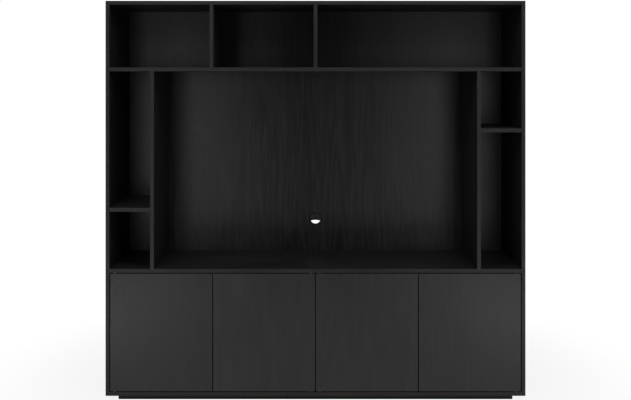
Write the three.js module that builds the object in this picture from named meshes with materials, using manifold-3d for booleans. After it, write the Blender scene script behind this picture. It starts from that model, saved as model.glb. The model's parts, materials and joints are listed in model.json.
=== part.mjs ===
// Wall unit for a television: a low cabinet with four doors, and an open shelf frame standing on it.
// Millimetres, +Z up, front towards -Y, origin on the floor in the middle of the footprint.
import * as THREE from 'three';
import { mergeVertices } from 'three/addons/utils/BufferGeometryUtils.js';
import Module from 'manifold-3d';

const wasm = await Module();
wasm.setup();

// Overall sizes
const unitWidth = 2000;
const unitDepth = 450;
const boardThickness = 18;

// Plinth
const plinthHeight = 35;
const plinthSetback = 50;
const plinthRearSetback = 20;
const plinthThickness = 18;

// Doors, set flush between the boards of the lower cabinet
const doorHeight = 560;
const doorThickness = 18;
const doorGap = 4;

// Upper frame
const bayHeight = 942;
const topRowHeight = 300;
const sideBayWidth = 194;
const lowShelfClearance = 273;
const highShelfClearance = 273;
const housingDepth = 4;

// Back panels stand in grooves, clear of the wall
const backThickness = 8;
const backRecess = 20;
const grooveDepth = 6;

// Shelves inside the lower cabinet, lying on rails
const shelfPlay = 0.8;
const innerShelfSetback = 45;
const innerShelfHeightShare = 0.5;
const railWidth = 12;
const railHeight = 18;
const railSetback = 30;

// Pivot hinges: a leaf with a pin let into the door edge, a leaf with a hole let into the board
const pivotFromEdge = 20;
const pivotFromFront = 7;
const pinRadius = 3;
const pinPastLeaf = 3;
const leafLength = 50;
const leafWidth = 10;
const leafThickness = 2.5;
const leafInset = 2;
const collarRadius = 5;
const swingClearance = 3;

// Push latches, each with a plunger for both doors of a pair
const plungerFromEdge = 18;
const plungerRadius = 4;
const plungerLength = 42;
const plungerBoreLength = 48;
const plungerChamfer = 1;
const latchCheek = 10;
const latchHeight = 26;
const latchDepth = 70;
const latchGap = 2;

// Cable outlet in the back of the niche
const outletHeight = 167;
const outletBoreRadius = 30;
const flangeRadius = 35.5;
const flangeThickness = 3;
const sleeveWall = 1.4;
const sleeveReach = 2;
const ledgeWidth = 1.5;
const capThickness = 2;
const capRim = 1;
const capSlotTop = -10;
const capSlotCrown = 4;

// Angle brackets to the wall
const bracketFromSide = 200;
const bracketWidth = 40;
const bracketHeight = 40;
const bracketThickness = 2;
const bracketHoleRadius = 2.5;

// Room between pieces that fit in each other, and what a cutter runs past a face
const fitGap = 0.3;
const overrun = 1;

// Counts: flats on small rounds and on the rounds of the outlet, and steps to a millimetre.
// Faces that meet lie on steps of 1/1024 mm, which 32-bit numbers hold exactly.
const smallSides = 12;
const outletSides = 32;
const stepsPerMillimetre = 1024;

// Levels and planes that follow from the sizes above
const outerX = unitWidth / 2;
const innerX = outerX - boardThickness;
const halfBoard = boardThickness / 2;
const frontY = -unitDepth / 2;
const rearY = unitDepth / 2;
const backRearY = rearY - backRecess;
const backFrontY = backRearY - backThickness;
const shelfRearY = backFrontY - fitGap;
const doorBackY = frontY + doorThickness;
const floorZ = plinthHeight + boardThickness;
const doorZ = floorZ + doorGap;
const doorTopZ = doorZ + doorHeight;
const ceilingZ = doorTopZ + doorGap;
const cabinetTopZ = ceilingZ + boardThickness;
const midShelfZ = cabinetTopZ + bayHeight;
const topRowZ = midShelfZ + boardThickness;
const topBoardZ = topRowZ + topRowHeight;
const unitHeight = topBoardZ + boardThickness;

// Finishes
const finishes = {
  blackVeneer: { color: 0x2b2a29, roughness: 0.5, metalness: 0 },
  blackPlastic: { color: 0x1d1d1e, roughness: 0.45, metalness: 0 },
  greyPlastic: { color: 0x77787a, roughness: 0.5, metalness: 0 },
  steel: { color: 0xb4b4b2, roughness: 0.3, metalness: 1 },
  darkSteel: { color: 0x6a6967, roughness: 0.35, metalness: 1 },
};

const unit = new THREE.Group();
const point = (x, y, z) => new THREE.Vector3(x, y, z);

// A box between two values on each axis, in either order
function span(x, y, z) {
  const box = new THREE.Box3();
  for (const end of [0, 1]) {
    const snapped = [x[end], y[end], z[end]].map((value) => Math.round(value * stepsPerMillimetre));
    box.expandByPoint(point(...snapped).divideScalar(stepsPerMillimetre));
  }
  return box;
}

function blockGeometry(box) {
  const size = box.getSize(new THREE.Vector3());
  const centre = box.getCenter(new THREE.Vector3());
  return new THREE.BoxGeometry(size.x, size.y, size.z).translate(centre.x, centre.y, centre.z);
}

// A round bar from one point to another along X, Y or Z
function barGeometry(from, to, radius, sides = smallSides) {
  const along = to.clone().sub(from);
  const bar = new THREE.CylinderGeometry(radius, radius, along.length(), sides);
  bar.applyQuaternion(new THREE.Quaternion().setFromUnitVectors(point(0, 1, 0), along.normalize()));
  const middle = from.clone().add(to).divideScalar(2);
  return bar.translate(middle.x, middle.y, middle.z);
}

// The hole for that bar, longer and wider by the fit gap
function boreGeometry(from, to, radius, sides = smallSides) {
  const step = to.clone().sub(from).setLength(fitGap);
  return barGeometry(from.clone().sub(step), to.clone().add(step), radius + fitGap, sides);
}

// Solids that can be joined and cut, and the geometry of the result
function solidOf(geometry) {
  const bare = new THREE.BufferGeometry();
  bare.setAttribute('position', geometry.getAttribute('position').clone());
  bare.setIndex(geometry.index.clone());
  const merged = mergeVertices(bare);
  const vertProperties = new Float32Array(merged.getAttribute('position').array);
  const triVerts = new Uint32Array(merged.index.array);
  return new wasm.Manifold(new wasm.Mesh({ numProp: 3, vertProperties, triVerts }));
}

function geometryOf(solid) {
  const mesh = solid.getMesh();
  const geometry = new THREE.BufferGeometry();
  geometry.setAttribute('position', new THREE.BufferAttribute(mesh.vertProperties, 3));
  geometry.setIndex(new THREE.BufferAttribute(mesh.triVerts, 1));
  geometry.computeVertexNormals();
  return geometry;
}

// Adds a mesh whose geometry is given in the frame of the unit, placed by its own middle
function place(name, finish, geometry) {
  geometry.computeBoundingBox();
  const centre = geometry.boundingBox.getCenter(new THREE.Vector3());
  const material = new THREE.MeshStandardMaterial(finishes[finish]);
  const mesh = new THREE.Mesh(geometry.translate(-centre.x, -centre.y, -centre.z), material);
  mesh.name = name;
  mesh.position.copy(centre);
  unit.add(mesh);
}

// Every fitted piece leaves its seat here, and a board is cut by the seats that reach into it
const seats = [];
function seat(geometry) {
  geometry.computeBoundingBox();
  seats.push({ box: geometry.boundingBox.clone(), geometry });
}

function board(name, x, y, z) {
  const box = span(x, y, z);
  let solid = solidOf(blockGeometry(box));
  for (const cut of seats) {
    if (cut.box.intersectsBox(box)) solid = solid.subtract(solidOf(cut.geometry));
  }
  place(name, 'blackVeneer', geometryOf(solid));
}

// Doors from left to right, in two pairs that open from their middle
const doorNames = ['left_outer', 'left_inner', 'right_inner', 'right_outer'];
const doorPitch = (2 * innerX - doorGap) / doorNames.length;
const doors = doorNames.map((name, index) => {
  const low = -innerX + doorGap + index * doorPitch;
  const high = low + doorPitch - doorGap;
  const hungLeft = index % 2 === 0;
  const [hingeX, freeX] = hungLeft ? [low, high] : [high, low];
  const inward = hungLeft ? 1 : -1;
  const leafStartX = hingeX + inward * leafInset;
  return {
    name,
    x: [low, high],
    pivotX: hingeX + inward * pivotFromEdge,
    leafX: [leafStartX, leafStartX + inward * leafLength],
    plungerX: freeX - inward * plungerFromEdge,
  };
});
const doorPairs = [{ name: 'left', doors: doors.slice(0, 2) }, { name: 'right', doors: doors.slice(2) }];

// Pivots at the top and bottom edges of the doors
const pivotY = frontY + pivotFromFront;
const leafY = [pivotY - leafWidth / 2, pivotY + leafWidth / 2];
const swingRadius = Math.hypot(pivotFromEdge, doorThickness - pivotFromFront);
const ends = [
  { name: 'top', edgeZ: doorTopZ, boardZ: ceilingZ, away: 1 },
  { name: 'bottom', edgeZ: doorZ, boardZ: floorZ, away: -1 },
];

function pinOf(door, end) {
  const foot = point(door.pivotX, pivotY, end.edgeZ - end.away * leafThickness);
  const tip = point(door.pivotX, pivotY, end.boardZ + end.away * (leafThickness + pinPastLeaf));
  return [foot, tip];
}

function doorPivot(door, end) {
  const leaf = span(door.leafX, leafY, [end.edgeZ - end.away * leafThickness, end.edgeZ]);
  const [foot, tip] = pinOf(door, end);
  const collarTop = point(door.pivotX, pivotY, end.boardZ - end.away * fitGap);
  const solid = solidOf(blockGeometry(leaf))
    .add(solidOf(barGeometry(foot, tip, pinRadius)))
    .add(solidOf(barGeometry(foot, collarTop, collarRadius)));
  seat(blockGeometry(leaf.clone().expandByScalar(fitGap)));
  place(`${door.name}_${end.name}_pivot`, 'darkSteel', geometryOf(solid));
}

// A socket leaf in the cabinet, for one door or for the two that hang at the middle
function pivotSocket(name, served, end) {
  const x = served.flatMap((door) => door.leafX);
  const z = [end.boardZ, end.boardZ + end.away * leafThickness];
  const leaf = span([Math.min(...x), Math.max(...x)], leafY, z);
  let solid = solidOf(blockGeometry(leaf));
  for (const door of served) {
    const bore = boreGeometry(...pinOf(door, end), pinRadius);
    solid = solid.subtract(solidOf(bore));
    seat(bore);
  }
  seat(blockGeometry(leaf.clone().expandByScalar(fitGap)));
  place(`${name}_${end.name}_socket`, 'darkSteel', geometryOf(solid));
}

for (const end of ends) {
  for (const door of doors) doorPivot(door, end);
  pivotSocket('left', doors.slice(0, 1), end);
  pivotSocket('centre', doors.slice(1, -1), end);
  pivotSocket('right', doors.slice(-1), end);
}

// Push latches under the cabinet top, behind the free edges of each pair of doors
const plungerZ = ceilingZ - latchHeight / 2;
const latchFrontY = doorBackY + latchGap;

function latchHousing(pair) {
  const plungers = pair.doors.map((door) => door.plungerX);
  const reach = plungerRadius + latchCheek;
  const housing = span([Math.min(...plungers) - reach, Math.max(...plungers) + reach],
    [latchFrontY, latchFrontY + latchDepth], [ceilingZ - latchHeight, ceilingZ]);
  let solid = solidOf(blockGeometry(housing));
  for (const x of plungers) {
    const mouth = point(x, latchFrontY - overrun, plungerZ);
    const bore = boreGeometry(mouth, point(x, latchFrontY + plungerBoreLength, plungerZ), plungerRadius);
    solid = solid.subtract(solidOf(bore));
  }
  place(`${pair.name}_latch_housing`, 'greyPlastic', geometryOf(solid));
}

function latchPlunger(door) {
  const profile = [
    [0, 0], [plungerRadius - plungerChamfer, 0], [plungerRadius, plungerChamfer],
    [plungerRadius, plungerLength], [0, plungerLength],
  ].map(([radius, along]) => new THREE.Vector2(radius, along));
  const plunger = new THREE.LatheGeometry(profile, smallSides);
  place(`${door.name}_latch_plunger`, 'greyPlastic',
    plunger.translate(door.plungerX, doorBackY + fitGap, plungerZ));
}
doorPairs.forEach(latchHousing);
doors.forEach(latchPlunger);

// Cable outlet: a ring through the back of the niche, and a cap with a slot that turns in it
const outletZ = cabinetTopZ + outletHeight;
const sleeveRadius = outletBoreRadius - fitGap;
const clearRadius = sleeveRadius - sleeveWall;
const ledgeRadius = clearRadius - ledgeWidth;
const flangeY = backFrontY - flangeThickness;
const capSeatY = flangeY + capThickness + fitGap;
const sleeveEndY = backRearY + sleeveReach;

function outletRing() {
  const profile = [
    [flangeRadius, flangeY], [flangeRadius, backFrontY], [sleeveRadius, backFrontY],
    [sleeveRadius, sleeveEndY], [ledgeRadius, sleeveEndY], [ledgeRadius, capSeatY],
    [clearRadius, capSeatY], [clearRadius, flangeY], [flangeRadius, flangeY],
  ].map(([radius, y]) => new THREE.Vector2(radius, y));
  return new THREE.LatheGeometry(profile, outletSides).translate(0, 0, outletZ);
}

function outletCap() {
  const outer = clearRadius - 2 * fitGap;
  const inner = outer - capRim;
  const slotAngle = Math.asin(capSlotTop / inner);
  const disc = new THREE.Shape().absarc(0, 0, outer, 0, 2 * Math.PI, false);
  const slot = new THREE.Path().absarc(0, 0, inner, Math.PI - slotAngle, slotAngle, false);
  slot.quadraticCurveTo(0, capSlotTop + 2 * capSlotCrown, -inner * Math.cos(slotAngle), capSlotTop);
  disc.holes.push(slot);
  const cap = new THREE.ExtrudeGeometry(disc, {
    depth: capThickness, bevelEnabled: false, curveSegments: outletSides,
  });
  return cap.rotateX(Math.PI / 2).translate(0, capSeatY - fitGap, outletZ);
}
place('cable_outlet_ring', 'blackPlastic', outletRing());
place('cable_outlet_cap', 'blackPlastic', outletCap());
seat(barGeometry(point(0, backFrontY - overrun, outletZ), point(0, backRearY + overrun, outletZ),
  outletBoreRadius, outletSides));

// Back panels, which enter the boards round them on all four sides
const nicheX = innerX - sideBayWidth - boardThickness;
const bayX = nicheX + boardThickness;

function backPanel(name, x, z) {
  const entry = grooveDepth - fitGap;
  const reach = ([low, high]) => [low - entry, high + entry];
  board(name, reach(x), [backFrontY, backRearY], reach(z));
  seat(blockGeometry(span(reach(x), [backFrontY, backRearY], reach(z)).expandByScalar(fitGap)));
}
backPanel('top_row_back', [-innerX, innerX], [topRowZ, topBoardZ]);
backPanel('niche_back', [-nicheX, nicheX], [cabinetTopZ, midShelfZ]);
backPanel('left_bay_back', [-innerX, -bayX], [cabinetTopZ, midShelfZ]);
backPanel('right_bay_back', [bayX, innerX], [cabinetTopZ, midShelfZ]);
backPanel('cabinet_left_back', [-innerX, -halfBoard], [floorZ, ceilingZ]);
backPanel('cabinet_right_back', [halfBoard, innerX], [floorZ, ceilingZ]);

// Upright dividers of the upper frame stand in housings that run from front to back
const fullDepth = [frontY, rearY];
const toBack = [frontY, shelfRearY];
const smallTopBayWidth = (innerX - halfBoard - boardThickness) / 2;
const quarterX = -innerX + smallTopBayWidth + halfBoard;

function divider(name, x, y, [low, high]) {
  board(name, x, y, [low - housingDepth, high + housingDepth]);
  const wider = ([from, to]) => [from - fitGap, to + fitGap];
  seat(blockGeometry(span(wider(x), wider(y), [low - housingDepth, low + overrun])));
  seat(blockGeometry(span(wider(x), wider(y), [high - overrun, high + housingDepth])));
}
divider('left_niche_divider', [-bayX, -nicheX], fullDepth, [cabinetTopZ, midShelfZ]);
divider('right_niche_divider', [nicheX, bayX], fullDepth, [cabinetTopZ, midShelfZ]);
divider('top_quarter_divider', [quarterX - halfBoard, quarterX + halfBoard], toBack, [topRowZ, topBoardZ]);
divider('top_centre_divider', [-halfBoard, halfBoard], toBack, [topRowZ, topBoardZ]);

// Boards of the upper frame
const lowShelfZ = cabinetTopZ + lowShelfClearance;
const highShelfZ = midShelfZ - highShelfClearance;
board('left_side', [-outerX, -innerX], fullDepth, [cabinetTopZ, unitHeight]);
board('right_side', [innerX, outerX], fullDepth, [cabinetTopZ, unitHeight]);
board('top_board', [-innerX, innerX], fullDepth, [topBoardZ, unitHeight]);
board('middle_shelf', [-innerX, innerX], fullDepth, [midShelfZ, topRowZ]);
board('left_bay_shelf', [-innerX, -bayX], toBack, [lowShelfZ, lowShelfZ + boardThickness]);
board('right_bay_shelf', [bayX, innerX], toBack, [highShelfZ - boardThickness, highShelfZ]);

// Boards of the lower cabinet. The partition stands behind the swing of the doors hung in front of it.
const partitionFrontY = pivotY + swingRadius + swingClearance;
board('cabinet_top', [-outerX, outerX], fullDepth, [ceilingZ, cabinetTopZ]);
board('cabinet_bottom', [-innerX, innerX], fullDepth, [plinthHeight, floorZ]);
board('cabinet_left_side', [-outerX, -innerX], fullDepth, [plinthHeight, ceilingZ]);
board('cabinet_right_side', [innerX, outerX], fullDepth, [plinthHeight, ceilingZ]);
board('cabinet_partition', [-halfBoard, halfBoard], [partitionFrontY, rearY], [floorZ, ceilingZ]);
for (const door of doors) board(`${door.name}_door`, door.x, [frontY, doorBackY], [doorZ, doorTopZ]);

// Shelves inside, each on two rails
const innerShelfZ = floorZ + (ceilingZ - floorZ) * innerShelfHeightShare;
const innerShelfFrontY = frontY + innerShelfSetback;
const railY = [innerShelfFrontY + railSetback, shelfRearY - railSetback];
const railZ = [innerShelfZ - railHeight, innerShelfZ];
function innerShelf(name, low, high) {
  board(`${name}_inner_shelf`, [low + shelfPlay, high - shelfPlay],
    [innerShelfFrontY, shelfRearY], [innerShelfZ, innerShelfZ + boardThickness]);
  board(`${name}_shelf_left_rail`, [low, low + railWidth], railY, railZ);
  board(`${name}_shelf_right_rail`, [high - railWidth, high], railY, railZ);
}
innerShelf('left', -innerX, -halfBoard);
innerShelf('right', halfBoard, innerX);

// Plinth frame
const plinthX = outerX - plinthSetback;
const plinthY = [frontY + plinthSetback, rearY - plinthRearSetback];
const plinthZ = [0, plinthHeight];
const plinthInsideY = [plinthY[0] + plinthThickness, plinthY[1] - plinthThickness];
board('plinth_front', [-plinthX, plinthX], [plinthY[0], plinthInsideY[0]], plinthZ);
board('plinth_back', [-plinthX, plinthX], [plinthInsideY[1], plinthY[1]], plinthZ);
board('plinth_left', [-plinthX, -plinthX + plinthThickness], plinthInsideY, plinthZ);
board('plinth_right', [plinthX - plinthThickness, plinthX], plinthInsideY, plinthZ);
board('plinth_cross', [-plinthThickness / 2, plinthThickness / 2], plinthInsideY, plinthZ);

// Wall brackets, behind the back panel and under the top board
function wallBracket(name, x) {
  const width = [x - bracketWidth / 2, x + bracketWidth / 2];
  const flatLeg = span(width, [backRearY + fitGap, rearY], [topBoardZ - bracketThickness, topBoardZ]);
  const uprightLeg = span(width, [rearY - bracketThickness, rearY], [topBoardZ - bracketHeight, topBoardZ]);
  const holeZ = topBoardZ - bracketHeight / 2;
  const wallHole = barGeometry(point(x, backRearY, holeZ), point(x, rearY + overrun, holeZ), bracketHoleRadius);
  const screwY = (backRearY + rearY) / 2;
  const screwHole = barGeometry(point(x, screwY, topBoardZ - bracketThickness - overrun),
    point(x, screwY, topBoardZ + overrun), bracketHoleRadius);
  const solid = solidOf(blockGeometry(flatLeg)).add(solidOf(blockGeometry(uprightLeg)));
  const drilled = solid.subtract(solidOf(wallHole)).subtract(solidOf(screwHole));
  place(`${name}_wall_bracket`, 'steel', geometryOf(drilled));
}
wallBracket('left', -innerX + bracketFromSide);
wallBracket('right', innerX - bracketFromSide);

export default unit;
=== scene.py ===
# Black wall unit for a television: a low cabinet with four doors and an open shelf frame on it.
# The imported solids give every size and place, in metres, and this script gives them their finish.
import json
import math

import bmesh
import bpy
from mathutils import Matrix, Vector


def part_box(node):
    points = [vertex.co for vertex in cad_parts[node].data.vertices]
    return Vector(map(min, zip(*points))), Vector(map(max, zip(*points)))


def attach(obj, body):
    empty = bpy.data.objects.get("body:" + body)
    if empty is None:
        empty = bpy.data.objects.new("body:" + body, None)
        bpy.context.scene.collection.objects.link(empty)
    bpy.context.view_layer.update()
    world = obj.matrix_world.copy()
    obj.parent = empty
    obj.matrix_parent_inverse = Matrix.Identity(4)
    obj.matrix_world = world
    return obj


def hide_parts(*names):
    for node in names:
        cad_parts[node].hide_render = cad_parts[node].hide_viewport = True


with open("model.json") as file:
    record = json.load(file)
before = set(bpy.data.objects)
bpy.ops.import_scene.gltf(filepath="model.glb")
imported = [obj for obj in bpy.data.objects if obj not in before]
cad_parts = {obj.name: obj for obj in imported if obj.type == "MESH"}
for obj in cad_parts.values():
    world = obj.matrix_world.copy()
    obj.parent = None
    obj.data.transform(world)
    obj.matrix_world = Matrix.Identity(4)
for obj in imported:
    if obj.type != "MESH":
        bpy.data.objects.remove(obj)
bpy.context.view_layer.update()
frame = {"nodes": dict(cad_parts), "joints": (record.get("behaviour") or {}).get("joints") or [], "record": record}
bodyOf = {node: body for body, nodes in frame["record"]["behaviour"]["bodies"].items() for node in nodes}
slotOf = {subpart["node"]: subpart["material_slot"] for subpart in frame["record"]["subparts"]}
jointAt = {joint["name"]: Vector(joint["pos_m"]) for joint in frame["joints"] if "pos_m" in joint}
doorNames = ["left_outer", "left_inner", "right_inner", "right_outer"]
alongX, alongY, alongZ = 0, 1, 2


# Camera: it looks straight ahead, and its frame is shifted down to hold the whole unit
cameraPlace = {
    "height": 1.549,
    "distance": 4.086,
    "lens": 46.26,
    "horizonRow": 78,
    "pictureWidth": 631,
    "pictureHeight": 400,
}


def setCamera(place):
    spot = (0, -place["distance"], place["height"])
    bpy.ops.object.camera_add(location=spot, rotation=(math.pi / 2, 0, 0))
    camera = bpy.context.object
    camera.data.lens = place["lens"]
    camera.data.shift_y = (place["horizonRow"] - place["pictureHeight"] / 2) / place["pictureWidth"]
    bpy.context.scene.camera = camera


setCamera(cameraPlace)


# Shader maths: a wire is one output socket, and sums on it add Math nodes to its recipe
class Wire:
    def __init__(self, recipe, socket):
        self.recipe = recipe
        self.socket = socket

    def calc(self, operation, *values):
        return self.recipe.add("Math", {"operation": operation}, dict(enumerate(values)))

    def __add__(self, other):
        return self.calc("ADD", self, other)

    def __radd__(self, other):
        return self.calc("ADD", other, self)

    def __sub__(self, other):
        return self.calc("SUBTRACT", self, other)

    def __rsub__(self, other):
        return self.calc("SUBTRACT", other, self)

    def __mul__(self, other):
        return self.calc("MULTIPLY", self, other)

    def __rmul__(self, other):
        return self.calc("MULTIPLY", other, self)

    def floor(self):
        return self.calc("FLOOR", self)

    def fold(self, scale):
        return self.calc("PINGPONG", self, scale)

    # 0 below low, 1 above high, and even in between
    def rise(self, low, high):
        return self.recipe.add("MapRange", {"interpolation_type": "SMOOTHSTEP"},
            {"Value": self, "From Min": low, "From Max": high})


class Recipe:
    def __init__(self, nodeTree):
        self.nodeTree = nodeTree

    def add(self, kind, settings=None, sockets=None, out=0):
        node = self.nodeTree.nodes.new("ShaderNode" + kind)
        for key, value in (settings or {}).items():
            if key == "stops":
                setStops(node.color_ramp, value)
            else:
                setattr(node, key, value)
        for key, value in (sockets or {}).items():
            self.feed(node.inputs[key], value)
        return Wire(self, node.outputs[out])

    def feed(self, socket, value):
        if isinstance(value, Wire):
            self.nodeTree.links.new(value.socket, socket)
        else:
            socket.default_value = value

    def noise(self, x, y, z, detail=2, roughness=0.5):
        spot = self.add("CombineXYZ", None, {"X": x, "Y": y, "Z": z})
        return self.add("TexNoise", None,
            {"Vector": spot, "Scale": 1, "Detail": detail, "Roughness": roughness})

    def bump(self, look, height):
        return self.add("Bump", None,
            {"Strength": look["bumpStrength"], "Distance": look["bumpDepth"], "Height": height})


def setStops(ramp, stops):
    while len(ramp.elements) > 1:
        ramp.elements.remove(ramp.elements[-1])
    for index, (position, colour) in enumerate(stops):
        element = ramp.elements.new(position) if index else ramp.elements[0]
        element.position = position
        element.color = (*colour, 1)


def newMaterial(name):
    material = bpy.data.materials.new(name)
    material.use_nodes = True
    return material, Recipe(material.node_tree), material.node_tree.nodes["Principled BSDF"]


# Black-stained veneer. Its map runs across and along the grain, in metres.
# The doors shine more. The lower cabinet shines a little less than the frame on it, and the plinth least:
# this is painted shade on boards of one finish, for the lower cabinet that gets less light from above and the
# plinth in the shade under the cabinet.
boardVeneer = {
    "name": "black_board_veneer",
    "stain": (0.0068, 0.0066, 0.0064),
    "pore": (0.0018, 0.0017, 0.0017),
    "bloom": (0.0155, 0.0151, 0.0147),
    "shine": 0.29,
    "leafWidth": 0.21,
    "figure": 0.5,
    "gloss": 0.47,
}
# Painted shade: the board veneer with less shine, so that the lower cabinet renders darker than the frame
cabinetShadedVeneer = dict(boardVeneer, name="black_cabinet_shaded_veneer", shine=0.24)
backVeneer = dict(boardVeneer, name="black_back_veneer", leafWidth=0.257, figure=0.9, gloss=0.34)
doorVeneer = dict(boardVeneer, name="black_door_veneer", leafWidth=0.2436, figure=0.45, gloss=0.44,
    shine=0.35)
# Painted shade: the board veneer, duller and rougher, so that the plinth renders darker as if in the shade of its
# recess
plinthShadedVeneer = dict(boardVeneer, name="black_plinth_shaded_veneer", figure=0.4, gloss=0.62, shine=0.15)

# The patterns in the grain: how often each changes in a metre across and along it, and how fine it is
grainPatterns = {
    "sway": {"across": 3, "along": 0.9, "detail": 2, "roughness": 0.5},
    "arches": {"across": 11, "along": 0.75, "detail": 3, "roughness": 0.45},
    "streaks": {"across": 150, "along": 5, "detail": 4, "roughness": 0.6},
    "clouds": {"across": 5, "along": 2.5, "detail": 2, "roughness": 0.5},
    "pores": {"across": 1100, "along": 42, "detail": 2, "roughness": 0.5},
}
grainWork = {
    "swayReach": 0.05,
    "swaySeed": 3.7,
    "archSeed": 5.3,
    "cloudSeed": 4.2,
    "archRings": 9,
    "poresFrom": 0.56,
    "poresFull": 0.7,
    "poresBetweenRings": 0.35,
    "bumpStrength": 0.35,
    "bumpDepth": 0.0004,
}
# What each pattern gives to the tone, the roughness and the relief
toneShares = {"rings": 0.5, "streaks": 1.3, "clouds": 0.5, "leaves": 0.12, "pores": 0.4}
roughShares = {"streaks": 0.16, "pores": 0.2, "clouds": 0.08}
reliefShares = {"streaks": 0.35, "rings": 0.25}


def veneerMaterial(look):
    material, recipe, shader = newMaterial(look["name"])
    sheet = recipe.add("UVMap", {"uv_map": "veneer"})
    across = recipe.add("SeparateXYZ", None, {"Vector": sheet}, "X")
    along = recipe.add("SeparateXYZ", None, {"Vector": sheet}, "Y")
    work = grainWork

    def pattern(name, run, seed):
        shape = grainPatterns[name]
        return recipe.noise(run * shape["across"], along * shape["along"], seed,
            shape["detail"], shape["roughness"])
    leaf = (across * (1 / look["leafWidth"])).floor()
    leafTone = recipe.add("TexWhiteNoise", {"noise_dimensions": "1D"}, {"W": leaf})
    sway = pattern("sway", across, leaf * work["swaySeed"]) - 0.5
    bent = across + sway * work["swayReach"]
    arches = pattern("arches", bent, leaf * work["archSeed"]) * work["archRings"]
    rings = arches.fold(0.5) * 2
    streaks = pattern("streaks", bent, leaf)
    clouds = pattern("clouds", across, work["cloudSeed"])
    between = work["poresBetweenRings"]
    pores = pattern("pores", bent, leaf).rise(work["poresFrom"], work["poresFull"])
    pores = pores * (between + rings * (1 - between))
    figure = look["figure"]
    tone = 0.5 + (rings - 0.5) * toneShares["rings"] * figure
    tone = tone + (streaks - 0.5) * toneShares["streaks"] * figure
    tone = tone + (clouds - 0.5) * toneShares["clouds"] + (leafTone - 0.5) * toneShares["leaves"]
    tone = tone - pores * toneShares["pores"]
    colour = recipe.add("ValToRGB",
        {"stops": [(0.1, look["pore"]), (0.5, look["stain"]), (0.95, look["bloom"])]}, {"Fac": tone})
    recipe.feed(shader.inputs["Base Color"], colour)
    shader.inputs["Specular IOR Level"].default_value = look["shine"]
    roughness = look["gloss"] + (streaks - 0.5) * roughShares["streaks"] + pores * roughShares["pores"]
    recipe.feed(shader.inputs["Roughness"], roughness + (clouds - 0.5) * roughShares["clouds"])
    relief = streaks * reliefShares["streaks"] + rings * reliefShares["rings"] - pores
    recipe.feed(shader.inputs["Normal"], recipe.bump(work, relief))
    return material


materialOf = {
    "black_veneer": veneerMaterial(boardVeneer),
    "cabinet_veneer": veneerMaterial(cabinetShadedVeneer),
    "back_veneer": veneerMaterial(backVeneer),
    "door_veneer": veneerMaterial(doorVeneer),
    "plinth_veneer": veneerMaterial(plinthShadedVeneer),
}

# The eased edges of the boards, where the stain is worn thinner
arrisLook = {
    "name": "eased_arris",
    "stain": (0.006, 0.0058, 0.0056),
    "worn": (0.016, 0.0156, 0.0152),
    "wearScale": 30,
    "gloss": 0.36,
    "glossSpread": 0.2,
}


def arrisMaterial(look):
    material, recipe, shader = newMaterial(look["name"])
    spot = recipe.add("TexCoord", None, None, "Object")
    wear = recipe.add("TexNoise", None, {"Vector": spot, "Scale": look["wearScale"], "Detail": 3})
    colour = recipe.add("ValToRGB", {"stops": [(0.3, look["stain"]), (0.75, look["worn"])]}, {"Fac": wear})
    recipe.feed(shader.inputs["Base Color"], colour)
    shader.inputs["Specular IOR Level"].default_value = boardVeneer["shine"]
    recipe.feed(shader.inputs["Roughness"], look["gloss"] + wear * look["glossSpread"])
    return material


arris = arrisMaterial(arrisLook)

# Moulded plastics, with a fine grain and slow flow marks
plasticLooks = {
    "black_plastic": {"name": "moulded_black_plastic", "colour": (0.0075, 0.0074, 0.0073),
        "gloss": 0.5, "shine": 0.26},
    "dull_plastic": {"name": "dull_black_plastic", "colour": (0.0058, 0.0057, 0.0056),
        "gloss": 0.62, "shine": 0.16},
    "grey_plastic": {"name": "moulded_grey_plastic", "colour": (0.15, 0.15, 0.155),
        "gloss": 0.45, "shine": 0.5},
}
mouldedSkin = {
    "grainScale": 1600,
    "flowScale": 26,
    "flowLight": 1.35,
    "flowGloss": 0.15,
    "grainGloss": 0.12,
    "bumpStrength": 0.3,
    "bumpDepth": 0.00012,
}


def plasticMaterial(look, skin):
    material, recipe, shader = newMaterial(look["name"])
    shader.inputs["Specular IOR Level"].default_value = look["shine"]
    spot = recipe.add("TexCoord", None, None, "Object")
    grain = recipe.add("TexNoise", None, {"Vector": spot, "Scale": skin["grainScale"], "Detail": 2})
    flow = recipe.add("TexNoise", None, {"Vector": spot, "Scale": skin["flowScale"], "Detail": 2})
    lighter = tuple(value * skin["flowLight"] for value in look["colour"])
    tint = recipe.add("ValToRGB", {"stops": [(0.35, look["colour"]), (0.7, lighter)]}, {"Fac": flow})
    recipe.feed(shader.inputs["Base Color"], tint)
    roughness = look["gloss"] + (flow - 0.5) * skin["flowGloss"] + (grain - 0.5) * skin["grainGloss"]
    recipe.feed(shader.inputs["Roughness"], roughness)
    recipe.feed(shader.inputs["Normal"], recipe.bump(skin, grain))
    return material


for finish, look in plasticLooks.items():
    materialOf[finish] = plasticMaterial(look, mouldedSkin)

# Steel, brushed along X, with faint stains
steelLooks = {
    "steel": {"name": "brushed_steel", "darkest": 0.36, "lightest": 0.62},
    "dark_steel": {"name": "browned_steel", "darkest": 0.10, "lightest": 0.21},
}
brushedSkin = {
    "alongBrushing": 90,
    "acrossBrushing": 2600,
    "stainScale": 60,
    "gloss": 0.28,
    "glossSpread": 0.2,
    "bumpStrength": 0.2,
    "bumpDepth": 0.00005,
}


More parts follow.
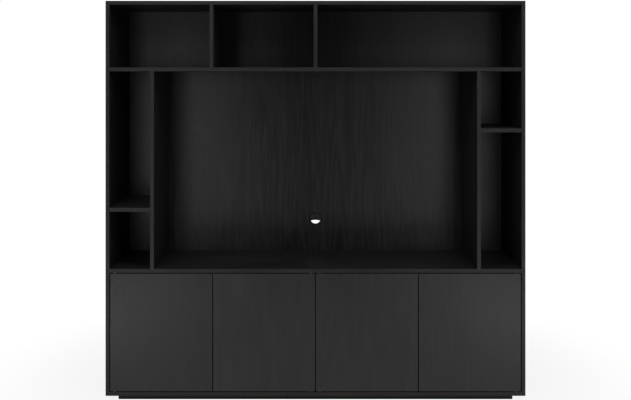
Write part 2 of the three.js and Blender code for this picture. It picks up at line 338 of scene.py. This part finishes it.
def steelMaterial(look, skin):
    material, recipe, shader = newMaterial(look["name"])
    spot = recipe.add("TexCoord", None, None, "Object")
    x, y, z = [recipe.add("SeparateXYZ", None, {"Vector": spot}, out) for out in "XYZ"]
    fine, stained = skin["acrossBrushing"], skin["stainScale"]
    brushing = recipe.noise(x * skin["alongBrushing"], y * fine, z * fine, 3, 0.6)
    stains = recipe.noise(x * stained, y * stained, z * stained, 3)
    tint = recipe.add("ValToRGB",
        {"stops": [(0.25, (look["darkest"],) * 3), (0.75, (look["lightest"],) * 3)]}, {"Fac": brushing})
    recipe.feed(shader.inputs["Base Color"], tint)
    shader.inputs["Metallic"].default_value = 1
    spread = skin["glossSpread"]
    roughness = skin["gloss"] + (brushing - 0.5) * spread + (stains - 0.5) * spread
    recipe.feed(shader.inputs["Roughness"], roughness)
    recipe.feed(shader.inputs["Normal"], recipe.bump(skin, brushing))
    return material


for finish, look in steelLooks.items():
    materialOf[finish] = steelMaterial(look, brushedSkin)
print("materials:", len(bpy.data.materials))


# Handwork that every piece goes through
mergeDistance = 0.000002
flatAngle = math.radians(0.5)
sameSpot = 0.00001


def near(first, second):
    return abs(first - second) < sameSpot


def makeActive(piece):
    bpy.ops.object.select_all(action="DESELECT")
    piece.select_set(True)
    bpy.context.view_layer.objects.active = piece


def takeInHand(piece):
    makeActive(piece)
    bpy.ops.object.mode_set(mode="EDIT")
    bpy.ops.mesh.select_mode(type="EDGE")


def pickEdges(piece, test):
    # Selects the edges that pass the test, and nothing else
    mesh = bmesh.from_edit_mesh(piece.data)
    for part in (*mesh.verts, *mesh.edges, *mesh.faces):
        part.select = False
    for edge in mesh.edges:
        edge.select_set(test(edge))
    bmesh.update_edit_mesh(piece.data)


def mergedCopy(node, name):
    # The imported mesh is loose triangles: the copy is merged, and its flat faces become whole
    piece = bpy.data.objects.new(name, frame["nodes"][node].data.copy())
    piece.data.name = name
    piece.data.materials.clear()
    bpy.context.collection.objects.link(piece)
    takeInHand(piece)
    bpy.ops.mesh.select_all(action="SELECT")
    bpy.ops.mesh.remove_doubles(threshold=mergeDistance)
    bpy.ops.mesh.dissolve_limited(angle_limit=flatAngle)
    bpy.ops.object.mode_set(mode="OBJECT")
    return piece


def boxOf(node):
    return [Vector(corner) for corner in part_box(node)]


def hand(piece, slot, *nodes):
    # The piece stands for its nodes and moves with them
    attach(piece, bodyOf[nodes[0]])
    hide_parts(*nodes)


def addOn(piece, body):
    # A piece that stands for no solid of its own
    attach(piece, body)


# Boards, doors and back panels: veneered, edge-banded and eased along their outer edges
boardWork = {
    "black_veneer": {
        alongZ: ["left_side", "right_side", "left_niche_divider", "right_niche_divider",
            "top_quarter_divider", "top_centre_divider"],
        alongX: ["top_board", "middle_shelf", "left_bay_shelf", "right_bay_shelf",
            "left_inner_shelf", "right_inner_shelf"],
        alongY: ["left_shelf_left_rail", "left_shelf_right_rail", "right_shelf_left_rail",
            "right_shelf_right_rail"],
    },
    "cabinet_veneer": {
        alongZ: ["cabinet_left_side", "cabinet_right_side", "cabinet_partition"],
        alongX: ["cabinet_top", "cabinet_bottom"],
    },
    "back_veneer": {
        alongZ: ["top_row_back", "niche_back", "left_bay_back", "right_bay_back",
            "cabinet_left_back", "cabinet_right_back"],
    },
    "door_veneer": {
        alongZ: [door + "_door" for door in doorNames],
    },
    "plinth_veneer": {
        alongX: ["plinth_front", "plinth_back"],
        alongY: ["plinth_left", "plinth_right", "plinth_cross"],
    },
}
easing = {
    "black_veneer": 0.0007,
    "cabinet_veneer": 0.0007,
    "back_veneer": 0.0003,
    "door_veneer": 0.0005,
    "plinth_veneer": 0.0006,
}
easingSteps = 3
flitchShift = 2.9    # metres of other veneer from one board to the next


def easeOutline(piece, low, high, size):
    # Rounds the edges that lie on the outline of the board's box, and gives them the arris finish
    def onOutline(edge):
        planes = 0
        for axis in (alongX, alongY, alongZ):
            places = [corner.co[axis] for corner in edge.verts]
            for plane in (low[axis], high[axis]):
                planes += all(near(place, plane) for place in places)
        return planes == 2
    takeInHand(piece)
    pickEdges(piece, onOutline)
    bpy.ops.mesh.bevel(offset=size, segments=easingSteps, affect="EDGES", clamp_overlap=True, material=1)
    bpy.ops.object.mode_set(mode="OBJECT")


def layVeneer(piece, grain, flitch):
    # On the ends the grain runs with the depth, as it does on an edge band
    layer = piece.data.uv_layers.new(name="veneer")
    for face in piece.data.polygons:
        facing = max(range(3), key=lambda axis: abs(face.normal[axis]))
        along = grain
        if facing == grain:
            along = alongX if grain == alongY else alongY
        across = alongX + alongY + alongZ - facing - along
        for corner in face.loop_indices:
            spot = piece.data.vertices[piece.data.loops[corner].vertex_index].co
            layer.data[corner].uv = (spot[across] + flitch * flitchShift, spot[along])


def makeBoards():
    flitch = 0
    for finish, byGrain in boardWork.items():
        for grain, nodes in byGrain.items():
            for node in nodes:
                piece = mergedCopy(node, node + "_veneered")
                piece.data.materials.append(materialOf[finish])
                piece.data.materials.append(arris)
                easeOutline(piece, *boxOf(node), easing[finish])
                layVeneer(piece, grain, flitch)
                hand(piece, slotOf[node], node)
                flitch += 1
    print("boards:", flitch)


makeBoards()


# Turned, drilled and joined work for the hardware
towards = {
    "left": Vector((-1, 0, 0)),
    "right": Vector((1, 0, 0)),
    "rear": Vector((0, 1, 0)),
    "up": Vector((0, 0, 1)),
    "down": Vector((0, 0, -1)),
}
pastFace = 0.0004    # what a cutter runs past the face that it enters
turnedSides = 48
boreSides = 40
sharpAngle = math.radians(35)
softeningSteps = 2


def turnTo(direction):
    return towards[direction].to_track_quat("Z", "Y").to_euler()


def settle(piece, name):
    # Leaves the finished piece at the origin, with its turn and scale in its mesh
    makeActive(piece)
    bpy.ops.object.transform_apply(location=True, rotation=True, scale=True)
    piece.name = name
    piece.data.name = name


def carve(piece, operation, tool):
    makeActive(piece)
    carving = piece.modifiers.new("carving", "BOOLEAN")
    carving.operation = operation
    carving.solver = "EXACT"
    carving.object = tool
    bpy.ops.object.modifier_apply(modifier="carving")
    bpy.data.objects.remove(tool)


def softenEdges(piece, size):
    # Rounds every edge that turns sharply, and shades the rest smooth
    makeActive(piece)
    softening = piece.modifiers.new("softening", "BEVEL")
    softening.limit_method = "ANGLE"
    softening.angle_limit = sharpAngle
    softening.width = size
    softening.segments = softeningSteps
    bpy.ops.object.modifier_apply(modifier="softening")
    bpy.ops.object.shade_smooth_by_angle(angle=sharpAngle)


def block(name, low, high):
    low, high = Vector(low), Vector(high)
    bpy.ops.mesh.primitive_cube_add(size=1, location=(low + high) / 2, scale=high - low)
    piece = bpy.context.object
    settle(piece, name)
    return piece


def turned(name, profile, spot, direction, sides=turnedSides):
    # A profile of radius and height, drawn out ring by ring from a circle
    radius, height = profile[0]
    bpy.ops.mesh.primitive_circle_add(vertices=sides, radius=radius, location=(0, 0, 0))
    piece = bpy.context.object
    takeInHand(piece)
    bpy.ops.mesh.select_all(action="SELECT")
    bpy.ops.transform.translate(value=(0, 0, height))
    for nextRadius, nextHeight in profile[1:]:
        bpy.ops.mesh.extrude_edges_move(TRANSFORM_OT_translate={"value": (0, 0, nextHeight - height)})
        share = nextRadius / radius
        bpy.ops.transform.resize(value=(share, share, 1), center_override=(0, 0, nextHeight))
        radius, height = nextRadius, nextHeight
    bpy.ops.mesh.select_all(action="SELECT")
    if profile[0] == profile[-1]:
        bpy.ops.mesh.remove_doubles(threshold=mergeDistance / 2)
    else:
        bpy.ops.mesh.fill_holes(sides=0)
    bpy.ops.mesh.select_all(action="SELECT")
    bpy.ops.mesh.normals_make_consistent(inside=False)
    bpy.ops.object.mode_set(mode="OBJECT")
    piece.location = spot
    piece.rotation_euler = turnTo(direction)
    settle(piece, name)
    return piece


def drill(piece, spot, direction, radius, depth, headRadius=0):
    # A round hole from a spot on a face, widened to a cone where a screw head sinks in
    way = towards[direction]
    bpy.ops.mesh.primitive_cylinder_add(vertices=boreSides, radius=radius, depth=depth + pastFace,
        location=spot + way * (depth - pastFace) / 2, rotation=turnTo(direction))
    carve(piece, "DIFFERENCE", bpy.context.object)
    if headRadius:
        sink = headRadius - radius
        bpy.ops.mesh.primitive_cone_add(vertices=boreSides, radius1=headRadius + pastFace, radius2=radius,
            depth=sink + pastFace, location=spot + way * (sink - pastFace) / 2, rotation=turnTo(direction))
        carve(piece, "DIFFERENCE", bpy.context.object)


def joined(name, pieces):
    makeActive(pieces[0])
    for piece in pieces:
        piece.select_set(True)
    bpy.ops.object.join()
    settle(pieces[0], name)
    return pieces[0]


# Screws: each kind is made once, with its cross recess, and copied to where it sits
countersunk = {"shank": 0.0016, "head": 0.0031, "rim": 0.0002, "long": 0.0023,
    "cross": 0.0017, "crossDepth": 0.0009}
panHead = {"shank": 0.002, "head": 0.0038, "rise": 0.0021, "long": 0.002,
    "cross": 0.002, "crossDepth": 0.0012}
screwWork = {
    "sides": 32,
    "domeAngles": (0, 15, 30, 45, 60, 75),
    "crossWidth": 0.0006,
    "softening": 0.00008,
    "firstTurn": 25,
    "turnStep": 40,
}


def cutCross(piece, size, top):
    half = screwWork["crossWidth"] / 2
    for x, y in ((size["cross"], half), (half, size["cross"])):
        tool = block("cross_tool", (-x, -y, top - size["crossDepth"]), (x, y, top + pastFace))
        carve(piece, "DIFFERENCE", tool)
    softenEdges(piece, screwWork["softening"])


def sunkScrew(size):
    shank, head, rim = size["shank"], size["head"], size["rim"]
    profile = [(shank, -size["long"]), (shank, shank - head - rim), (head, -rim), (head, 0)]
    screw = turned("sunk_screw", profile, (0, 0, 0), "up", screwWork["sides"])
    cutCross(screw, size, 0)
    return screw


def roundScrew(size):
    # The head's dome is a quarter of an ellipse
    shank, head, rise = size["shank"], size["head"], size["rise"]
    profile = [(shank, -size["long"]), (shank, 0)]
    for angle in screwWork["domeAngles"]:
        turn = math.radians(angle)
        profile.append((head * math.cos(turn), rise * math.sin(turn)))
    screw = turned("round_screw", profile, (0, 0, 0), "up", screwWork["sides"])
    cutCross(screw, size, profile[-1][1])
    return screw


masterScrews = {"sunk": sunkScrew(countersunk), "round": roundScrew(panHead)}
for master in masterScrews.values():
    bpy.context.collection.objects.unlink(master)


def driveScrews(name, kind, places, body, finish="steel"):
    # Each place is a spot on a face and the way that the head looks
    copies = []
    for number, (spot, direction) in enumerate(places):
        screw = bpy.data.objects.new(name, masterScrews[kind].data.copy())
        screw.location = spot
        screw.rotation_euler = turnTo(direction)
        turn = screwWork["firstTurn"] + screwWork["turnStep"] * number
        screw.rotation_euler.rotate_axis("Z", math.radians(turn))
        bpy.context.collection.objects.link(screw)
        copies.append(screw)
    screws = joined(name, copies)
    screws.data.materials.append(materialOf[finish])
    addOn(screws, body)


# Pivot hinges: leaves let in flush, with their pins, collars and screws
pivotWork = {
    "pinRadius": 0.003,
    "collarRadius": 0.005,
    "boreRadius": 0.0033,
    "runningGap": 0.0003,
    "tipChamfer": 0.0006,
    "screwsFromPin": (-0.011, 0.013, 0.026),
    "leafSoftening": 0.0003,
    "pinSoftening": 0.0002,
}
opposite = {"up": "down", "down": "up"}


def hangingOf(door):
    # Where the door turns, and which way along X the rest of it lies
    low, high = boxOf(door + "_door")
    pivot = jointAt[door + "_door_hinge"]
    return pivot, 1 if (low.x + high.x) / 2 > pivot.x else -1


def screwSpots(door, faceZ):
    pivot, inward = hangingOf(door)
    return [Vector((pivot.x + inward * reach, pivot.y, faceZ)) for reach in pivotWork["screwsFromPin"]]


def drillForScrews(leaf, spots, direction, thickness):
    for spot in spots:
        drill(leaf, spot, direction, countersunk["shank"], thickness + pastFace, countersunk["head"])
    softenEdges(leaf, pivotWork["leafSoftening"])


def makePivot(door, end, away):
    # The leaf lies in the edge of the door, and its pin stands away from it
    node = f"{door}_{end}_pivot"
    low, high = boxOf(node)
    doorLow, doorHigh = boxOf(door + "_door")
    if away == "up":
        faceZ, footZ, tipZ = doorHigh.z, low.z, high.z
        boardZ = boxOf("cabinet_top")[0].z
    else:
        faceZ, footZ, tipZ = doorLow.z, high.z, low.z
        boardZ = boxOf("cabinet_bottom")[1].z
    leaf = block(node + "_leaf", (low.x, low.y, min(footZ, faceZ)), (high.x, high.y, max(footZ, faceZ)))
    thickness = abs(faceZ - footZ)
    spots = screwSpots(door, faceZ)
    drillForScrews(leaf, spots, opposite[away], thickness)
    pin, collar, chamfer = [pivotWork[key] for key in ("pinRadius", "collarRadius", "tipChamfer")]
    rise = abs(boardZ - faceZ) - pivotWork["runningGap"]
    reach = abs(tipZ - faceZ)
    profile = [(collar, -thickness / 2), (collar, rise), (pin, rise), (pin, reach - chamfer),
        (pin - chamfer, reach)]
    pivot, _ = hangingOf(door)
    post = turned(node + "_post", profile, (pivot.x, pivot.y, faceZ), away)
    softenEdges(post, pivotWork["pinSoftening"])
    piece = joined(node + "_finished", [leaf, post])
    piece.data.materials.append(materialOf["dark_steel"])
    hand(piece, "dark_steel", node)
    driveScrews(node + "_screws", "sunk", [(spot, away) for spot in spots], bodyOf[node], "dark_steel")


def makeSocket(side, end, away, doors):
    # The leaf lies in the board, and the pins of its doors turn in its holes
    node = f"{side}_{end}_socket"
    low, high = boxOf(node)
    faceZ = low.z if away == "up" else high.z
    leaf = block(node + "_leaf", low, high)
    thickness = high.z - low.z
    spots = []
    for door in doors:
        pivot, _ = hangingOf(door)
        drill(leaf, Vector((pivot.x, pivot.y, faceZ)), away, pivotWork["boreRadius"], thickness + pastFace)
        spots += screwSpots(door, faceZ)
    drillForScrews(leaf, spots, away, thickness)
    leaf.data.materials.append(materialOf["dark_steel"])
    settle(leaf, node + "_finished")
    hand(leaf, "dark_steel", node)
    places = [(spot, opposite[away]) for spot in spots]
    driveScrews(node + "_screws", "sunk", places, bodyOf[node], "dark_steel")


for end, away in {"top": "up", "bottom": "down"}.items():
    for door in doorNames:
        makePivot(door, end, away)
    makeSocket("left", end, away, doorNames[:1])
    makeSocket("centre", end, away, doorNames[1:3])
    makeSocket("right", end, away, doorNames[3:])
print("pivot hinges:", 2 * len(doorNames), "leaves and 6 sockets")


# Push latches: moulded housings with a seam, plungers with a dimpled tip, strikes in the doors
latchWork = {
    "boreRadius": 0.0043,
    "boreDepth": 0.048,
    "boreFlare": 0.0008,
    "seamFromFront": 0.014,
    "seam": 0.0007,
    "panelInset": 0.006,
    "panelDepth": 0.0008,
    "screwFromEnd": 0.02,
    "screwFromRear": 0.009,
    "screwDepth": 0.004,
    "housingSoftening": 0.0003,
    "plungerSoftening": 0.00012,
    "strikeSoftening": 0.00008,
}
# Radius and height, from the tip of the plunger and from the face of the door
plungerProfile = [(0.0009, 0.0006), (0.0014, 0.0001), (0.003, 0), (0.004, 0.001), (0.004, 0.0052),
    (0.0036, 0.0055), (0.0036, 0.0065), (0.004, 0.0068), (0.004, 0.042)]
strikeProfile = [(0.0062, -0.001), (0.0062, 0), (0.0058, 0.00015), (0.0035, 0.00015), (0.0032, 0.00005)]


def plungerSpot(door):
    low, high = boxOf(door + "_latch_plunger")
    return Vector(((low.x + high.x) / 2, low.y, (low.z + high.z) / 2))


def cutSeam(housing, low, high):
    # A groove up both ends and along the underside
    groove = latchWork["seam"]
    y = low.y + latchWork["seamFromFront"]
    for x, nextX, top in ((low.x, low.x, high.z), (high.x, high.x, high.z), (low.x, high.x, low.z)):
        start = (x - groove, y, low.z - groove)
        end = (nextX + groove, y + groove, top + groove)
        carve(housing, "DIFFERENCE", block("seam_tool", start, end))


def makeHousing(side, doors):
    node = side + "_latch_housing"
    low, high = boxOf(node)
    work = latchWork
    housing = block(node + "_block", low, high)
    cutSeam(housing, low, high)
    spots = [plungerSpot(door) for door in doors]
    inset = work["panelInset"]
    panelLow = min(spot.x for spot in spots) + inset + work["boreRadius"]
    panelHigh = max(spot.x for spot in spots) - inset - work["boreRadius"]
    panel = block("panel_tool", (panelLow, low.y - pastFace, low.z + inset),
        (panelHigh, low.y + work["panelDepth"], high.z - inset))
    carve(housing, "DIFFERENCE", panel)
    for spot in spots:
        mouth = Vector((spot.x, low.y, spot.z))
        flare = work["boreRadius"] + work["boreFlare"]
        drill(housing, mouth, "rear", work["boreRadius"], work["boreDepth"], flare)
    screws = [Vector((x, high.y - work["screwFromRear"], low.z))
        for x in (low.x + work["screwFromEnd"], high.x - work["screwFromEnd"])]
    for spot in screws:
        drill(housing, spot, "up", countersunk["shank"], work["screwDepth"], countersunk["head"])
    softenEdges(housing, work["housingSoftening"])
    housing.data.materials.append(materialOf["grey_plastic"])
    settle(housing, node + "_finished")
    hand(housing, "grey_plastic", node)
    driveScrews(node + "_screws", "sunk", [(spot, "down") for spot in screws], bodyOf[node])


def makePlunger(door):
    node = door + "_latch_plunger"
    spot = plungerSpot(door)
    plunger = turned(node + "_finished", plungerProfile, spot, "rear")
    softenEdges(plunger, latchWork["plungerSoftening"])
    plunger.data.materials.append(materialOf["grey_plastic"])
    hand(plunger, "grey_plastic", node)
    doorRearY = boxOf(door + "_door")[1].y
    strike = turned(door + "_strike", strikeProfile, (spot.x, doorRearY, spot.z), "rear")
    softenEdges(strike, latchWork["strikeSoftening"])
    strike.data.materials.append(materialOf["steel"])
    addOn(strike, bodyOf[door + "_door"])


makeHousing("left", doorNames[:2])
makeHousing("right", doorNames[2:])
for door in doorNames:
    makePlunger(door)
print("push latches: 2 housings,", len(doorNames), "plungers and strikes")


# Wall brackets: bent steel, screwed up into the top board, with an open hole for the wall
bracketWork = {
    "thickness": 0.002,
    "holeRadius": 0.0025,
    "bend": 0.0018,
    "bendSteps": 5,
    "corner": 0.005,
    "cornerSteps": 6,
    "softening": 0.00025,
}


def roundBracket(bracket, low, high):
    def lies(edge, axis, plane):
        return all(near(corner.co[axis], plane) for corner in edge.verts)

    def atCorner(edge):
        atSide = lies(edge, alongX, low.x) or lies(edge, alongX, high.x)
        return atSide and (lies(edge, alongZ, low.z) or lies(edge, alongY, low.y))

    def atBend(edge):
        return lies(edge, alongY, high.y) and lies(edge, alongZ, high.z)
    for test, kind in ((atCorner, "corner"), (atBend, "bend")):
        takeInHand(bracket)
        pickEdges(bracket, test)
        bpy.ops.mesh.bevel(offset=bracketWork[kind], segments=bracketWork[kind + "Steps"],
            affect="EDGES", clamp_overlap=True)
        bpy.ops.object.mode_set(mode="OBJECT")


def makeBracket(side):
    node = side + "_wall_bracket"
    low, high = boxOf(node)
    thickness, hole = bracketWork["thickness"], bracketWork["holeRadius"]
    bracket = block(node + "_flat", (low.x, low.y, high.z - thickness), high)
    carve(bracket, "UNION", block(node + "_upright", (low.x, high.y - thickness, low.z), high))
    roundBracket(bracket, low, high)
    middle = (low + high) / 2
    wallHole = Vector((middle.x, high.y - thickness, middle.z))
    screwSpot = Vector((middle.x, middle.y, high.z - thickness))
    drill(bracket, wallHole, "rear", hole, thickness + pastFace)
    drill(bracket, screwSpot, "up", hole, thickness + pastFace)
    softenEdges(bracket, bracketWork["softening"])
    bracket.data.materials.append(materialOf["steel"])
    settle(bracket, node + "_finished")
    hand(bracket, "steel", node)
    driveScrews(node + "_screw", "round", [(screwSpot, "down")], bodyOf[node])


for side in ("left", "right"):
    makeBracket(side)


# Screws through the shelf rails, seen when a door stands open
railWork = {
    "looks": {
        "left_shelf_left_rail": "right", "left_shelf_right_rail": "left",
        "right_shelf_left_rail": "right", "right_shelf_right_rail": "left",
    },
    "screwShares": (0.12, 0.5, 0.88),
}


def screwRail(node, looking):
    low, high = boxOf(node)
    faceX = high.x if looking == "right" else low.x
    places = [(Vector((faceX, low.y + share * (high.y - low.y), (low.z + high.z) / 2)), looking)
        for share in railWork["screwShares"]]
    driveScrews(node + "_screws", "round", places, bodyOf[node])


for node, looking in railWork["looks"].items():
    screwRail(node, looking)
print("brackets and rail screws")


# Steel pins that the two small shelves lie on, pushed into the boards on both sides
pinWork = {
    "profile": [(0.0025, -0.001), (0.0025, 0.0068), (0.0021, 0.0076), (0.0012, 0.008)],
    "radius": 0.0025,
    "sides": 24,
    "fromFront": 0.06,
    "fromRear": 0.05,
    "softening": 0.0001,
}


def makeShelfPins(shelf):
    low, high = boxOf(shelf)
    pins = []
    for faceX, direction in ((low.x, "right"), (high.x, "left")):
        for y in (low.y + pinWork["fromFront"], high.y - pinWork["fromRear"]):
            spot = (faceX, y, low.z - pinWork["radius"])
            pins.append(turned(shelf + "_pin", pinWork["profile"], spot, direction, pinWork["sides"]))
    piece = joined(shelf + "_pins", pins)
    softenEdges(piece, pinWork["softening"])
    piece.data.materials.append(materialOf["steel"])
    addOn(piece, bodyOf[shelf])


for shelf in ("left_bay_shelf", "right_bay_shelf"):
    makeShelfPins(shelf)
print("shelf pins")


# Cable outlet: a turned ring, and a cap with a slot under a gently crowned edge
outletWork = {
    "lipProfile": [(-0.0012, 0), (-0.0004, 0.0006), (0, 0.0016)],    # from the edge of the flange
    "flangeThickness": 0.003,
    "sleeveRadius": 0.0297,
    "clearRadius": 0.0283,
    "ledgeRadius": 0.0268,
    "seatDepth": 0.0023,
    "capRim": 0.001,
    "slotTop": -0.010,
    "slotCrown": 0.004,
    "sides": 96,
    "crownSides": 720,
    "softening": 0.0003,
}


def makeRing():
    low, high = boxOf("cable_outlet_ring")
    work = outletWork
    flange = (high.x - low.x) / 2
    reach = high.y - low.y
    lip = [(flange + past, height) for past, height in work["lipProfile"]]
    profile = [*lip, (flange, work["flangeThickness"]), (work["sleeveRadius"], work["flangeThickness"]),
        (work["sleeveRadius"], reach), (work["ledgeRadius"], reach),
        (work["ledgeRadius"], work["seatDepth"]), (work["clearRadius"], work["seatDepth"]),
        (work["clearRadius"], 0), lip[0]]
    spot = (0, low.y, (low.z + high.z) / 2)
    ring = turned("cable_outlet_ring_finished", profile, spot, "rear", work["sides"])
    softenEdges(ring, work["softening"])
    ring.data.materials.append(materialOf["dull_plastic"])
    hand(ring, "black_plastic", "cable_outlet_ring")


def makeCap():
    low, high = boxOf("cable_outlet_cap")
    work = outletWork
    radius = (high.x - low.x) / 2
    inner = radius - work["capRim"]
    middle = (low + high) / 2
    thickness = high.y - low.y
    halfChord = math.sqrt(inner ** 2 - work["slotTop"] ** 2)
    crownRadius = (halfChord ** 2 + work["slotCrown"] ** 2) / (2 * work["slotCrown"])
    crownZ = middle.z + work["slotTop"] + work["slotCrown"] - crownRadius
    discs = []
    for size, z, sides, depth in (
        (radius, middle.z, work["sides"], thickness),
        (inner, middle.z, work["sides"], 2 * thickness),
        (crownRadius, crownZ, work["crownSides"], 3 * thickness),
    ):
        bpy.ops.mesh.primitive_cylinder_add(vertices=sides, radius=size, depth=depth,
            location=(middle.x, middle.y, z), rotation=turnTo("rear"))
        discs.append(bpy.context.object)
    cap, slot, crown = discs
    carve(slot, "INTERSECT", crown)
    carve(cap, "DIFFERENCE", slot)
    softenEdges(cap, work["softening"])
    cap.data.materials.append(materialOf["black_plastic"])
    settle(cap, "cable_outlet_cap_finished")
    hand(cap, "black_plastic", "cable_outlet_cap")


makeRing()
makeCap()
print("cable outlet")


# Floor, lamps and surroundings
studio = {
    "floorRadius": 3.2,
    "floorSides": 96,
    "floorTone": 0.82,
    "floorVeil": 0.88,
    "veilFrom": 1.05,
    "veilFull": 1.9,
    "ambient": 0.03,
    "behindFull": 0.3,
    "lamps": [
        {"place": (1.0, -1.0, 3.2), "size": (1.6, 0.8), "power": 25},
        {"place": (0.9, -2.2, 3.0), "size": (0.8, 0.8), "power": 9},
        {"place": (1.12, -2.25, 1.14), "size": (0.66, 1.56), "power": 8.4},
        {"place": (1.3, -1.3, 0.13), "size": (0.8, 0.2), "power": 2.6},
    ],
    "aim": (0, 0, 0.9),
}


def seenRays(recipe):
    # 1 for the rays that show the surroundings to the camera, straight, mirrored or through glass
    seen = recipe.add("LightPath", None, None, "Is Camera Ray")
    for kind in ("Is Glossy Ray", "Is Transmission Ray"):
        seen = seen + recipe.add("LightPath", None, None, kind)
    return seen.calc("MINIMUM", seen, 1)


def layFloor():
    # A veil of white lies over the paint, thinner near the unit so that its shadow stays
    bpy.ops.object.select_all(action="DESELECT")
    bpy.ops.mesh.primitive_circle_add(vertices=studio["floorSides"], radius=studio["floorRadius"],
        fill_type="NGON")
    floor = bpy.context.object
    floor.name = "floor"
    material, recipe, _ = newMaterial("pale_floor")
    spot = recipe.add("TexCoord", None, None, "Object")
    distance = recipe.add("VectorMath", {"operation": "LENGTH"}, {0: spot}, "Value")
    outward = distance.rise(studio["veilFrom"], studio["veilFull"])
    veil = seenRays(recipe) * (studio["floorVeil"] + outward * (1 - studio["floorVeil"]))
    paint = recipe.add("BsdfDiffuse", None, {"Color": (*(studio["floorTone"],) * 3, 1)})
    white = recipe.add("Emission", None, {"Color": (1, 1, 1, 1), "Strength": 1})
    mixed = recipe.add("MixShader", None, {0: veil, 1: paint, 2: white})
    recipe.feed(material.node_tree.nodes["Material Output"].inputs["Surface"], mixed)
    floor.data.materials.append(material)


def setLamps():
    # Each lamp has its twin on the other side
    for lamp in studio["lamps"]:
        for side in (-1, 1):
            x, y, z = lamp["place"]
            place = Vector((side * x, y, z))
            turn = (Vector(studio["aim"]) - place).to_track_quat("-Z", "Y").to_euler()
            bpy.ops.object.light_add(type="AREA", location=place, rotation=turn)
            light = bpy.context.object.data
            light.shape = "RECTANGLE"
            light.size, light.size_y = lamp["size"]
            light.energy = lamp["power"]
            bpy.context.object.visible_camera = False


def setWorld():
    # White all round for the camera, and behind the unit also for reflections: the room in front is dim
    world = bpy.data.worlds.new("studio")
    world.use_nodes = True
    bpy.context.scene.world = world
    recipe = Recipe(world.node_tree)
    background = world.node_tree.nodes["Background"]
    way = recipe.add("TexCoord", None, None, "Generated")
    behind = recipe.add("SeparateXYZ", None, {"Vector": way}, "Y").rise(0, studio["behindFull"])
    camera = recipe.add("LightPath", None, None, "Is Camera Ray")
    white = camera.calc("MAXIMUM", camera, seenRays(recipe) * behind)
    recipe.feed(background.inputs["Color"], (1, 1, 1, 1))
    recipe.feed(background.inputs["Strength"], studio["ambient"] + white * (1 - studio["ambient"]))


layFloor()
setLamps()
setWorld()
bpy.context.scene.view_settings.view_transform = "Standard"
print("studio: floor,", 2 * len(studio["lamps"]), "lamps and surroundings")

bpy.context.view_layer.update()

for master in masterScrews.values():
    bpy.data.objects.remove(master)
